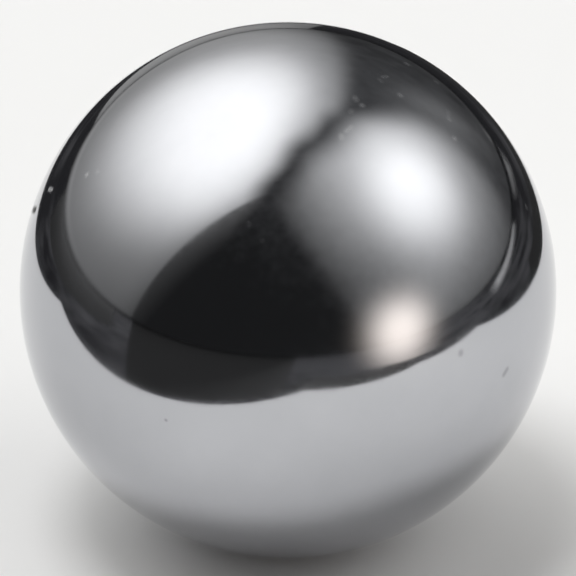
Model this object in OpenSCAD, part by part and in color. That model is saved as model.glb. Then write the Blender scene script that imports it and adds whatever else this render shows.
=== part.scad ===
// Steel ice ball: a sealed, mirror-polished steel ball that is chilled and put in a drink in place of ice.
// Millimetres, +Z up. The origin is the centre of the ball.

/* [Ball] */
// Outside diameter of the ball
ball_d = 55; // [20:1:80]

/* [Hidden] */

// Facets round a great circle, in the preview and in mesh exports
$fn = 180;

// The sealed ball, polished all over, with no seam, plug or flat that shows
module ball() {
    color("silver") sphere(d = ball_d);
}

ball();
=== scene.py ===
"""Looks of the steel ice ball: a mirror-polished ball on a pale sheet, lit by two diffusers in a dark room.

Metres, +Z up, in the frame of the CAD model. The camera stands on the -Y side, so +X is to its right.
A direction from the ball is given by its turn, from the camera's side towards +X, and its rise over the
floor, both in degrees.
"""

import math
from collections import namedtuple

import bmesh
import bpy
import numpy as np
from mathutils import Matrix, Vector


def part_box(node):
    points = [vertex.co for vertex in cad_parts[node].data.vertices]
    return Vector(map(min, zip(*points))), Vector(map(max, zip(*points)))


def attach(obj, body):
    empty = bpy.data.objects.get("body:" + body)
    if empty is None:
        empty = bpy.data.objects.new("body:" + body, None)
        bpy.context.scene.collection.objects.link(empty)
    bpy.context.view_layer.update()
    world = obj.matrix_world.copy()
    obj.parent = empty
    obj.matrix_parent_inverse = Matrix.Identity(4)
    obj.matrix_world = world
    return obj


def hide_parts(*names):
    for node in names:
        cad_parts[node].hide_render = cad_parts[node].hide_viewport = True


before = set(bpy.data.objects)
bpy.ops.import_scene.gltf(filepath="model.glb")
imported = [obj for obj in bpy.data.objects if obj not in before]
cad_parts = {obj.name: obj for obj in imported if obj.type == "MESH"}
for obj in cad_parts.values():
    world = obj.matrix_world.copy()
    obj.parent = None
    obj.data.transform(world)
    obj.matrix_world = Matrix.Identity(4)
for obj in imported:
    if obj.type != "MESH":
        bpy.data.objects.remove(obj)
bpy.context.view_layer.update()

MM = 0.001

# The ball's radius is the shortest half side of the CAD mesh's box, so the fine ball stays inside that box
node_low, node_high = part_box("ball")
BALL_R = min(node_high - node_low) / 2
FLOOR_Z = -BALL_R

# Where the ball stands in the photograph, in pixels
PHOTO_SIZE = 576
BALL_CENTRE_PX = (288.0, 289.9)
BALL_RADIUS_PX = 268.4

# The camera: the photograph is a tight crop from a step away, so the lens is long
CAMERA_RISE = 28
CAMERA_FAR = 10.0
LENS = 750
SENSOR = 36

UP = Vector((0, 0, 1))


# Directions

def unit_towards(turn, rise):
    """Direction from the ball by its turn and its rise."""
    turn = math.radians(turn)
    rise = math.radians(rise)
    return Vector((math.cos(rise) * math.sin(turn), -math.cos(rise) * math.cos(turn), math.sin(rise)))


TO_CAMERA = unit_towards(0, CAMERA_RISE)
PHOTO_RIGHT = Vector((1, 0, 0))
PHOTO_UP = TO_CAMERA.cross(PHOTO_RIGHT)


def ball_direction_at(pixel_x, pixel_y):
    """Direction from the ball's centre to the surface point that the photograph shows at a pixel."""
    across = (pixel_x - BALL_CENTRE_PX[0]) / BALL_RADIUS_PX
    up = (BALL_CENTRE_PX[1] - pixel_y) / BALL_RADIUS_PX
    out = math.sqrt(max(0.0, 1 - across ** 2 - up ** 2))
    return (across * PHOTO_RIGHT + up * PHOTO_UP + out * TO_CAMERA).normalized()


# Meshes and objects

def new_object(name, mesh, material):
    """Links a mesh to the scene under a name, with one material."""
    mesh.materials.append(material)
    made = bpy.data.objects.new(name, mesh)
    bpy.context.scene.collection.objects.link(made)
    return made


def keep_values(mesh, name, values):
    """Keeps a number with each point of a mesh, for its material to read."""
    mesh.attributes.new(name, "FLOAT", "POINT").data.foreach_set("value", values)


def grid_faces(columns, rows, first=0):
    """The faces of a grid of points, which are counted row by row from a first one."""
    return [tuple(first + j * columns + i + step for step in (0, 1, columns + 1, columns))
            for j in range(rows - 1) for i in range(columns - 1)]


# Materials

def new_material(name):
    """An empty node material, and its tree."""
    material = bpy.data.materials.new(name)
    material.use_nodes = True
    tree = material.node_tree
    tree.nodes.clear()
    return material, tree


def add_node(tree, kind, inputs=None, **settings):
    """Adds a node, sets its properties, and links each input to another node's output or gives it a value."""
    node = tree.nodes.new(kind)
    for key, value in settings.items():
        setattr(node, key, value)
    for socket, value in (inputs or {}).items():
        if isinstance(value, bpy.types.NodeSocket):
            tree.links.new(value, node.inputs[socket])
        else:
            node.inputs[socket].default_value = value
    return node


def add_attribute(tree, name):
    """A number that is kept with the mesh's points."""
    return add_node(tree, "ShaderNodeAttribute", attribute_name=name).outputs["Fac"]


def add_noise(tree, place, scale, detail, roughness=0.5):
    """Soft noise from 0 to 1."""
    inputs = {"Vector": place, "Scale": scale, "Detail": detail, "Roughness": roughness}
    return add_node(tree, "ShaderNodeTexNoise", inputs).outputs["Fac"]


def add_math(tree, operation, *values):
    """Arithmetic on one or more numbers."""
    return add_node(tree, "ShaderNodeMath", dict(enumerate(values)), operation=operation).outputs["Value"]


def add_range(tree, value, span, result, **settings):
    """Maps a span of values to another."""
    inputs = {"Value": value, "From Min": span[0], "From Max": span[1],
              "To Min": result[0], "To Max": result[1]}
    return add_node(tree, "ShaderNodeMapRange", inputs, **settings).outputs["Result"]


def add_ramp(tree, factor, tones):
    """A ramp between two colours, each given after its place on the ramp."""
    ramp = add_node(tree, "ShaderNodeValToRGB", {"Fac": factor})
    for stop, (position, colour) in zip(ramp.color_ramp.elements, tones):
        stop.position = position
        stop.color = colour
    return ramp.outputs["Color"]


def add_mix(tree, data_type, factor, first, second):
    """A mix that goes from the first colour or number to the second with the factor."""
    inputs = {"Factor": factor, "A": first, "B": second}
    return add_node(tree, "ShaderNodeMix", inputs, data_type=data_type).outputs["Result"]


def add_surface(tree, surface):
    """Gives the material its surface."""
    add_node(tree, "ShaderNodeOutputMaterial", {"Surface": surface})


# Polished steel

# Smudges a few millimetres across dull the mirror a little: waves of noise in a metre, the span of the
# noise that counts, and the roughness over that span
SMUDGE_SCALE = 140.0
SMUDGE_SPAN = (0.35, 0.75)
SMUDGE_ROUGHNESS = (0.055, 0.11)

# Polish streaks run one way over the ball: their turn in radians, waves of noise in a metre along and across
# them, the span of the noise that counts, and what they add to the roughness
STREAK_TURN = (0.3, 0.5, 0.4)
STREAK_SCALE = (220.0, 5200.0, 5200.0)
STREAK_SPAN = (0.35, 0.7)
STREAK_ROUGHNESS = (-0.01, 0.02)

# The steel's colour over the smudges' noise
STEEL_TONES = ((0.3, (0.460, 0.467, 0.492, 1)), (0.7, (0.484, 0.491, 0.516, 1)))

# What the marks hold: residue is pale and matt, and a stain is a dark film on the mirror
RESIDUE_COLOUR = (0.72, 0.72, 0.71, 1)
RESIDUE_ROUGHNESS = 0.6
STAIN_COLOUR = (0.03, 0.028, 0.025, 1)
CLEAN = (1, 1, 1, 1)


def polished_steel():
    """Mirror-polished steel: cool grey metal with soft smudges and fine polish streaks."""
    material, tree = new_material("polished_steel")
    place = add_node(tree, "ShaderNodeTexCoord").outputs["Object"]
    smudge = add_noise(tree, place, SMUDGE_SCALE, detail=4.0, roughness=0.6)
    streak_inputs = {"Vector": place, "Rotation": STREAK_TURN, "Scale": STREAK_SCALE}
    streak_place = add_node(tree, "ShaderNodeMapping", streak_inputs).outputs["Vector"]
    streak = add_noise(tree, streak_place, scale=1.0, detail=3.0)
    polish = add_math(tree, "ADD", add_range(tree, smudge, SMUDGE_SPAN, SMUDGE_ROUGHNESS),
                      add_range(tree, streak, STREAK_SPAN, STREAK_ROUGHNESS))
    tone = add_ramp(tree, smudge, STEEL_TONES)

    # Residue isn't metal. A stain stays metal and only takes light from the mirror, also at glancing angles.
    residue = add_attribute(tree, "residue")
    stain = add_attribute(tree, "stain")
    paler = add_mix(tree, "RGBA", residue, tone, RESIDUE_COLOUR)
    surface = add_node(tree, "ShaderNodeBsdfPrincipled", {
        "Base Color": add_mix(tree, "RGBA", stain, paler, STAIN_COLOUR),
        "Specular Tint": add_mix(tree, "RGBA", stain, CLEAN, STAIN_COLOUR),
        "Roughness": add_mix(tree, "FLOAT", residue, polish, RESIDUE_ROUGHNESS),
        "Metallic": add_math(tree, "SUBTRACT", 1.0, residue),
    })
    add_surface(tree, surface.outputs["BSDF"])
    return material


# The ball

# Cells along each edge of the cube that the ball's mesh is blown up from
CUBE_CELLS = 96

# Specks, pits and short scratches in the polish: the pixel where the photograph shows the middle of each,
# its width in mm, how much pale residue and how much dark stain it holds, from 0 to 1, and its run across and
# down in pixels
Mark = namedtuple("Mark", "middle width residue stain run", defaults=(0.0, 0.0, (0, 0)))
MARKS = (
    Mark((406.0, 65.5), width=1.20, residue=0.08),
    Mark((435.5, 83.5), width=1.00, residue=0.06, run=(1, 1)),
    Mark((399.0, 97.5), width=1.10, residue=0.11),
    Mark((384.0, 79.0), width=0.70, residue=0.06, run=(4, -1)),
    Mark((379.5, 83.0), width=0.90, residue=0.04, run=(2, 2)),
    Mark((446.5, 115.0), width=0.90, residue=0.04, run=(0, 2)),
    Mark((447.5, 121.0), width=1.10, residue=0.09),
    Mark((452.5, 140.5), width=1.10, residue=0.13),
    Mark((361.0, 108.0), width=1.00, residue=0.10),
    Mark((354.5, 101.5), width=1.10, residue=0.08, run=(1, 2)),
    Mark((350.0, 114.5), width=1.10, residue=0.05),
    Mark((348.0, 132.0), width=0.85, residue=0.12, run=(5, -4)),
    Mark((341.0, 139.5), width=1.00, residue=0.14, run=(0, 2)),
    Mark((524.5, 207.5), width=1.20, residue=0.08),
    Mark((520.0, 216.0), width=0.90, residue=0.03),
    Mark((89.0, 176.0), width=1.00, residue=0.28),
    Mark((100.0, 173.0), width=1.00, residue=0.11),
    Mark((52.0, 190.0), width=0.90, residue=0.45, run=(3, 1)),
    Mark((34.8, 210.0), width=1.20, stain=0.85, run=(-3, -1)),
    Mark((250.0, 225.0), width=0.80, residue=0.03, run=(0, 2)),
    Mark((263.0, 241.5), width=0.80, residue=0.03),
    Mark((168.0, 418.0), width=0.60, stain=0.40),
    Mark((458.0, 352.0), width=1.10, stain=0.28, run=(0, 1)),
    Mark((503.0, 371.0), width=1.00, stain=0.30, run=(3, -5)),
)

# Depth of a mark as a share of its half width
MARK_DEPTH = 0.0015

# The mesh round a mark is halved this many times, out to this many half widths
MARK_HALVINGS = 3
MARK_REACH = 1.5

# Keeps a division clear of zero
TINY = 1e-9


def mark_ends(mark):
    """The two ends of a mark's run on the ball."""
    ends = []
    for side in (-1, 1):
        pixel = [middle + side * run / 2 for middle, run in zip(mark.middle, mark.run)]
        ends.append(np.array(ball_direction_at(*pixel)) * BALL_R)
    return ends


def half_width(mark):
    """Half the width of a mark."""
    return mark.width / 2 * MM


def segment_distance(places, start, end):
    """Distance of each place from a straight run, and the direction from the run's nearest point to it."""
    run = end - start
    share = np.zeros(len(places))
    if np.dot(run, run) > 0:
        share = np.clip((places - start) @ run / np.dot(run, run), 0, 1)
    offset = places - (start + share[:, None] * run)
    distance = np.linalg.norm(offset, axis=1)
    return distance, offset / np.maximum(distance, TINY)[:, None]


def refine_round_marks(mesh, margin):
    """Halves the mesh's edges near the marks and puts the new points back on the ball."""
    places = np.array([vertex.co for vertex in mesh.verts])
    near = np.zeros(len(places), dtype=bool)
    for mark in MARKS:
        distance = segment_distance(places, *mark_ends(mark))[0]
        near |= distance < MARK_REACH * half_width(mark) + margin
    mesh.verts.index_update()
    edges = [edge for edge in mesh.edges if near[edge.verts[0].index] or near[edge.verts[1].index]]
    made = bmesh.ops.subdivide_edges(mesh, edges=edges, cuts=1, use_grid_fill=True)
    for element in made["geom_inner"]:
        if isinstance(element, bmesh.types.BMVert):
            element.co = element.co.normalized() * BALL_R


def ball_mesh():
    """A ball blown up from a cube of even cells, with finer cells round the marks."""
    mesh = bmesh.new()
    bmesh.ops.create_cube(mesh, size=2)
    bmesh.ops.subdivide_edges(mesh, edges=mesh.edges[:], cuts=CUBE_CELLS - 1, use_grid_fill=True)
    for vertex in mesh.verts:
        even = Vector([math.tan(math.pi / 4 * value) for value in vertex.co])
        vertex.co = even.normalized() * BALL_R

    cell = math.pi / 2 * BALL_R / CUBE_CELLS
    for halving in range(MARK_HALVINGS):
        refine_round_marks(mesh, cell * 0.5 ** halving)

    data = bpy.data.meshes.new("ball")
    mesh.to_mesh(data)
    mesh.free()
    return data


def sink_marks(data):
    """Sinks each mark into the ball as a shallow bowl and fills it with what it holds."""
    places = np.empty(len(data.vertices) * 3)
    data.vertices.foreach_get("co", places)
    places = places.reshape(-1, 3)
    outward = places / np.linalg.norm(places, axis=1, keepdims=True)
    normals = outward.copy()
    sink = np.zeros(len(places))
    residue = np.zeros(len(places))
    stain = np.zeros(len(places))
    for mark in MARKS:
        distance, aside = segment_distance(places, *mark_ends(mark))
        share = np.clip(distance / half_width(mark), 0, 1)
        bowl = (1 - share ** 2) ** 2
        sink += MARK_DEPTH * half_width(mark) * bowl
        slope = 4 * MARK_DEPTH * share * (1 - share ** 2)
        normals -= aside * slope[:, None]
        residue = np.maximum(residue, mark.residue * bowl)
        stain = np.maximum(stain, mark.stain * bowl)

    places = places - outward * sink[:, None]
    normals /= np.linalg.norm(normals, axis=1, keepdims=True)
    data.vertices.foreach_set("co", places.ravel())
    keep_values(data, "residue", residue)
    keep_values(data, "stain", stain)
    data.shade_smooth()
    data.normals_split_custom_set_from_vertices(normals)
    data.update()


def build_ball():
    """The polished ball with its marks."""
    data = ball_mesh()
    sink_marks(data)
    return new_object("polished_ball", data, polished_steel())


# Floor and cloth

# Half the side of the floor
FLOOR_HALF = 4.0

# Pale paper: waves of its cloudiness in a metre, its colour over the cloudiness, and its roughness
PAPER_CLOUD_SCALE = 12.0
PAPER_TONES = ((0.0, (0.83, 0.83, 0.83, 1)), (1.0, (0.87, 0.87, 0.87, 1)))
PAPER_ROUGHNESS = 0.5

# The pale sheet that the ball stands on, of a common office size: its sides, its turn and its middle
SHEET_LONG = 0.297
SHEET_SHORT = 0.210
SHEET_TURN = math.radians(-46.2)
SHEET_MIDDLE = (1.06 * BALL_R, 0)

# The corners of a rectangle in order round it, as signs on its half sides
CORNER_SIGNS = ((-1, -1), (1, -1), (1, 1), (-1, 1))

# The dark cloth round the sheet: its outer edge as a multiple of the sheet, and its height over the floor
CLOTH_REACH = 60
CLOTH_LIFT = 0.1 * MM

# Its looks: waves of unevenness in a metre, their gain and shift, the darkening for each metre towards the
# back, and the colour over the sum
CLOTH_SCALE = 12.0
CLOTH_GAIN = 2.2
CLOTH_SHIFT = -0.6
CLOTH_DARKENING = -1.4
CLOTH_TONES = ((0.15, (0.022, 0.022, 0.024, 1)), (0.75, (0.10, 0.10, 0.105, 1)))

# Patches that lie on the cloth and the sheet: the place of each corner in ball radii from the ball with its
# grey, and the share of its first and its second side over which the patch fades out
Patch = namedtuple("Patch", "corners fade", defaults=((0, 0),))
PATCHES = (
    # Two strips to the right that show as a thin bright arc
    Patch(((7.2, 10.6, 0.28), (13.0, 12.0, 0.08), (40.0, 36.0, 0.08), (20.0, 34.0, 0.28)), fade=(0.3, 0.3)),
    Patch(((12.8, 1.2, 0.55), (28.0, 0.8, 0.55), (75.0, 48.0, 0.30), (22.0, 17.0, 0.30)), fade=(0.3, 0.1)),
    # A pale panel behind that greys the top rim
    Patch(((-1.2, 7.0, 0.32), (0.4, 8.2, 0.17), (5.0, 140.0, 0.17), (-78.0, 140.0, 0.32))),
    # A stretch to the left that is paler with distance
    Patch(((-9.5, -3.0, 0.06), (-7.5, 7.5, 0.03), (-120, 120, 0.26), (-150, -47.4, 0.28)), fade=(0.1, 0)),
    # Dark patches over the sheet's far edge and its near corner
    Patch(((4.3, 2.15, 0.03), (0.7, 4.85, 0.03), (0.9, 7.5, 0.03), (6.0, 3.5, 0.03))),
    Patch(((-0.45, -5.2, 0.08), (5.0, -3.75, 0.08), (5.6, -5.0, 0.08), (0.7, -7.6, 0.08)), fade=(0.15, 0)),
    # A darker stretch of the cloth to the left in front
    Patch(((-2.95, -1.55, 0.035), (-0.2, -4.6, 0.07), (10.0, -150, 0.05), (-150, -60.0, 0.022))),
)
PATCH_LIFT = 0.2 * MM


def pale_paper():
    """Matt pale paper with a faint cloudiness."""
    material, tree = new_material("pale_paper")
    place = add_node(tree, "ShaderNodeTexCoord").outputs["Object"]
    cloud = add_noise(tree, place, PAPER_CLOUD_SCALE, detail=5.0)
    tone = add_ramp(tree, cloud, PAPER_TONES)
    surface = add_node(tree, "ShaderNodeBsdfDiffuse", {"Color": tone, "Roughness": PAPER_ROUGHNESS})
    add_surface(tree, surface.outputs["BSDF"])
    return material


def dark_cloth():
    """Matt dark cloth with soft uneven patches, darker towards the back of the room."""
    material, tree = new_material("dark_cloth")
    place = add_node(tree, "ShaderNodeTexCoord").outputs["Object"]
    back = add_node(tree, "ShaderNodeSeparateXYZ", {"Vector": place}).outputs["Y"]
    patch = add_noise(tree, place, CLOTH_SCALE, detail=4.0)
    strong = add_math(tree, "MULTIPLY_ADD", patch, CLOTH_GAIN, CLOTH_SHIFT)
    uneven = add_math(tree, "MULTIPLY_ADD", back, CLOTH_DARKENING, strong)
    surface = add_node(tree, "ShaderNodeBsdfDiffuse", {"Color": add_ramp(tree, uneven, CLOTH_TONES)})
    add_surface(tree, surface.outputs["BSDF"])
    return material


def grey_board():
    """Matt board whose grey is kept on the mesh, clear where its cover fades out."""
    material, tree = new_material("grey_board")
    clear = add_node(tree, "ShaderNodeBsdfTransparent")
    board = add_node(tree, "ShaderNodeBsdfDiffuse", {"Color": add_attribute(tree, "grey")})
    cover = add_attribute(tree, "cover")
    shaders = {0: cover, 1: clear.outputs["BSDF"], 2: board.outputs["BSDF"]}
    surface = add_node(tree, "ShaderNodeMixShader", shaders)
    add_surface(tree, surface.outputs["Shader"])
    return material


def build_floor():
    """The plain pale floor that the ball touches."""
    data = bpy.data.meshes.new("floor")
    data.from_pydata([(x * FLOOR_HALF, y * FLOOR_HALF, FLOOR_Z) for x, y in CORNER_SIGNS], [], [(0, 1, 2, 3)])
    floor = new_object("floor", data, pale_paper())


def sheet_corners():
    """The corners of the pale sheet on the floor, in order round it."""
    along = Vector((math.cos(SHEET_TURN), math.sin(SHEET_TURN)))
    beside = Vector((-along.y, along.x))
    middle = Vector(SHEET_MIDDLE)
    return [middle + along * SHEET_LONG / 2 * i + beside * SHEET_SHORT / 2 * j for i, j in CORNER_SIGNS]


def hide_but_in_mirror(made):
    """Leaves a thing to be seen in the ball's mirror alone."""
    made.visible_camera = False
    made.visible_shadow = False
    made.visible_diffuse = False


def build_cloth():
    """Dark cloth round the sheet. It lies outside the photograph's frame and shows only in the mirror."""
    height = FLOOR_Z + CLOTH_LIFT
    corners = sheet_corners()
    points = [(corner.x * reach, corner.y * reach, height)
              for reach in (1, CLOTH_REACH) for corner in corners]
    count = len(corners)
    sides = [(i, (i + 1) % count, count + (i + 1) % count, count + i) for i in range(count)]
    data = bpy.data.meshes.new("cloth")
    data.from_pydata(points, [], sides)
    cloth = new_object("cloth", data, dark_cloth())
    hide_but_in_mirror(cloth)


def build_patches():
    """The patches on the cloth, which show only in the mirror."""
    height = FLOOR_Z + PATCH_LIFT
    points = []
    greys = []
    covers = []
    faces = []
    for patch in PATCHES:
        near_left, near_right, far_right, far_left = (np.array(corner) for corner in patch.corners)
        across, along = ((0, fade, 1 - fade, 1) if fade else (0, 1) for fade in patch.fade)
        faces += grid_faces(len(across), len(along), first=len(points))
        for v in along:
            for u in across:
                near = near_left + (near_right - near_left) * u
                far = far_left + (far_right - far_left) * u
                x, y, grey = near + (far - near) * v
                points.append((x * BALL_R, y * BALL_R, height))
                greys.append(grey)
                faded = len(across) > 2 and u in (0, 1) or len(along) > 2 and v in (0, 1)
                covers.append(0 if faded else 1)

    data = bpy.data.meshes.new("patches")
    data.from_pydata(points, [], faces)
    keep_values(data, "grey", greys)
    keep_values(data, "cover", covers)
    patches = new_object("patches", data, grey_board())
    hide_but_in_mirror(patches)


# Diffusers

NEUTRAL = (1.0, 0.995, 0.975, 1)
WARM = (1.0, 0.90, 0.81, 1)

# Each light is a flat cloth, square to the direction of its foot point from the ball. On it, places run
# across and up from the foot point, in multiples of its distance, and its glows are turned by its tilt in
# degrees.
Light = namedtuple("Light", "name colour turn rise distance reach cells glows edges tilt", defaults=((), 0))

# A glow has a middle, a size each way, a level, and a power that flattens its top
Glow = namedtuple("Glow", "middle size level power", defaults=(2,))

# An edge has the direction in which it is crossed, in degrees, its distance, its softness, the height of its
# waves, as cloth that is gathered along its hem has, and the share of the glow that passes it
Edge = namedtuple("Edge", "turn distance softness wave leak", defaults=(0, 0))

# The waves of a gathered hem: radians for each multiple of the cloth's distance, and where they start
WAVE_RATE = 9.0
WAVE_START = 1.9

LIGHTS = (
    Light("left_diffuser", NEUTRAL, turn=-120, rise=35, distance=2.0,
          reach=((-1.9, 2.8), (-0.75, 2.0)), cells=240, tilt=-20,
          glows=(Glow((0.04, 0.53), (0.92, 0.74), 1.47, power=3.3), Glow((0.0, 1.31), (9.0, 1.88), 0.70)),
          edges=(Edge(22, 1.63, 1.30), Edge(34, 1.85, 0.65), Edge(95.5, 1.475, 0.61, wave=0.05),
                 Edge(165.5, 1.38, 1.13), Edge(162, 1.205, 0.07, leak=0.25), Edge(-90, 0.70, 0.08))),
    Light("right_diffuser", NEUTRAL, turn=78, rise=35, distance=2.0,
          reach=((-2.2, 1.6), (-0.75, 1.9)), cells=120,
          glows=(Glow((-0.18, 0.14), (0.395, 0.353), 1.18, power=2.4),
                 Glow((-0.35, 0.45), (0.87, 0.80), 1.05),
                 Glow((0.80, -0.30), (0.3, 0.25), 0.10), Glow((0.28, -0.48), (0.35, 0.3), 0.16)),
          edges=(Edge(10, 1.16, 0.465), Edge(117.5, 0.854, 0.527, wave=0.03), Edge(159, 1.03, 0.66))),
    Light("small_lamp", WARM, turn=45.6, rise=4.4, distance=7.65 * BALL_R,
          reach=((-0.6, 0.6), (-0.25, 0.6)), cells=60,
          glows=(Glow((0.0, 0.0), (0.225, 0.21), 1.95, power=2.3),)),
    Light("wall_glow", NEUTRAL, turn=141.5, rise=22, distance=2.0,
          reach=((-0.6, 0.6), (-0.42, 0.8)), cells=60,
          glows=(Glow((0.0, 0.0), (0.15, 0.25), 0.16),)),
    Light("left_hem", NEUTRAL, turn=-140, rise=2.0, distance=2.0,
          reach=((-1.2, 1.2), (-0.06, 0.06)), cells=60,
          glows=(Glow((0.0, 0.0), (0.5, 0.016), 0.08),)),
    Light("right_hem", NEUTRAL, turn=160, rise=0.7, distance=2.0,
          reach=((-0.5, 0.5), (-0.05, 0.05)), cells=60,
          glows=(Glow((0.0, 0.0), (0.3, 0.012), 0.03), Glow((0.21, -0.01), (0.03, 0.02), 0.15))),
)


def glowing_cloth(name, colour):
    """Thin cloth lit from behind: its glow is kept on the mesh, and it hides nothing."""
    material, tree = new_material(name)
    light = add_node(tree, "ShaderNodeEmission", {"Color": colour, "Strength": add_attribute(tree, "glow")})
    clear = add_node(tree, "ShaderNodeBsdfTransparent")
    both = add_node(tree, "ShaderNodeAddShader", {0: light.outputs["Emission"], 1: clear.outputs["BSDF"]})
    add_surface(tree, both.outputs["Shader"])
    return material


def smooth_step(value):
    """0 below 0, 1 above 1, and a smooth rise between."""
    value = np.clip(value, 0, 1)
    return value * value * (3 - 2 * value)


def glow_at(across, up, light):
    """Glow of a lit cloth: its round glows added up, inside soft straight edges."""
    tilt = math.radians(light.tilt)
    total = np.zeros(len(across))
    for glow in light.glows:
        off_across = across - glow.middle[0]
        off_up = up - glow.middle[1]
        along = (off_across * math.cos(tilt) + off_up * math.sin(tilt)) / glow.size[0]
        beside = (off_up * math.cos(tilt) - off_across * math.sin(tilt)) / glow.size[1]
        total += glow.level * np.exp(-np.hypot(along, beside) ** glow.power)
    for edge in light.edges:
        turn = math.radians(edge.turn)
        beyond = across * math.cos(turn) + up * math.sin(turn) - edge.distance
        along = up * math.cos(turn) - across * math.sin(turn)
        beyond += edge.wave * np.cos(WAVE_RATE * along + WAVE_START)
        total *= edge.leak + (1 - edge.leak) * smooth_step(0.5 - beyond / edge.softness)
    return total


def build_diffuser(light):
    """A flat cloth square to one direction from the ball."""
    axis = unit_towards(light.turn, light.rise)
    right = axis.cross(UP).normalized()
    upward = right.cross(axis)
    count = light.cells + 1
    rows = [np.linspace(*ends, count) for ends in light.reach]
    across, up = (values.ravel() for values in np.meshgrid(*rows))
    places = np.array(axis) + across[:, None] * np.array(right) + up[:, None] * np.array(upward)
    data = bpy.data.meshes.new(light.name)
    data.from_pydata((places * light.distance).tolist(), [], grid_faces(count, count))
    keep_values(data, "glow", glow_at(across, up, light))
    cloth = new_object(light.name, data, glowing_cloth(light.name, light.colour))
    cloth.visible_camera = False


# Room and camera

# The lamp that fills the floor: where it stands from the ball, its size and its power
FILL_TURN = -60
FILL_RISE = 78
FILL_DISTANCE = 1.5
FILL_SIZE = 0.5
FILL_POWER = 7.0

# The dark room: the turn and rise of its pale corner, waves of its unevenness over the whole round, the
# span of the sum of the two that counts, the light over that span, and its colour
ROOM_CORNER = (126.5, 48.5)
ROOM_SCALE = 14.0
ROOM_SPAN = (0.40, 1.80)
ROOM_LEVELS = (0.02, 0.10)
ROOM_COLOUR = (0.97, 0.98, 1.0, 1)


def build_fill():
    """A soft lamp over the ball that lights the floor. The mirror doesn't show it."""
    data = bpy.data.lights.new("fill", "AREA")
    data.size = FILL_SIZE
    data.energy = FILL_POWER
    fill = bpy.data.objects.new("fill", data)
    towards = unit_towards(FILL_TURN, FILL_RISE)
    fill.location = towards * FILL_DISTANCE
    fill.rotation_euler = towards.to_track_quat("Z", "Y").to_euler()
    fill.visible_glossy = False
    bpy.context.scene.collection.objects.link(fill)


def build_room():
    """A dark room that lightens towards its far right corner, a little uneven all over."""
    world = bpy.data.worlds.new("room")
    bpy.context.scene.world = world
    world.use_nodes = True
    tree = world.node_tree
    tree.nodes.clear()
    place = add_node(tree, "ShaderNodeTexCoord").outputs["Generated"]
    towards = add_node(tree, "ShaderNodeVectorMath", {0: place, 1: unit_towards(*ROOM_CORNER)},
                       operation="DOT_PRODUCT").outputs["Value"]
    patch = add_noise(tree, place, ROOM_SCALE, detail=3.0, roughness=0.6)
    uneven = add_math(tree, "ADD", patch, towards)
    level = add_range(tree, uneven, ROOM_SPAN, ROOM_LEVELS, interpolation_type="SMOOTHSTEP")
    light = add_node(tree, "ShaderNodeBackground", {"Color": ROOM_COLOUR, "Strength": level})
    add_node(tree, "ShaderNodeOutputWorld", {"Surface": light.outputs["Background"]})


def build_camera():
    """The camera at the photograph's angle, at the distance where the ball has its size in the photograph."""
    data = bpy.data.cameras.new("camera")
    data.lens = LENS
    data.sensor_width = SENSOR
    data.clip_end = CAMERA_FAR
    half_view = SENSOR / 2 / LENS
    ball_share = BALL_RADIUS_PX / (PHOTO_SIZE / 2)
    distance = BALL_R / math.sin(math.atan(ball_share * half_view))
    pixel = BALL_R / BALL_RADIUS_PX
    aim = ((PHOTO_SIZE / 2 - BALL_CENTRE_PX[0]) * PHOTO_RIGHT
           + (BALL_CENTRE_PX[1] - PHOTO_SIZE / 2) * PHOTO_UP) * pixel
    camera = bpy.data.objects.new("camera", data)
    camera.location = aim + TO_CAMERA * distance
    camera.rotation_euler = TO_CAMERA.to_track_quat("Z", "Y").to_euler()
    bpy.context.scene.collection.objects.link(camera)
    bpy.context.scene.camera = camera


ball = build_ball()
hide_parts("ball")
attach(ball, "root")

build_floor()
build_cloth()
build_patches()
build_fill()
for light in LIGHTS:
    build_diffuser(light)
build_room()
build_camera()
bpy.context.scene.view_settings.view_transform = "Standard"
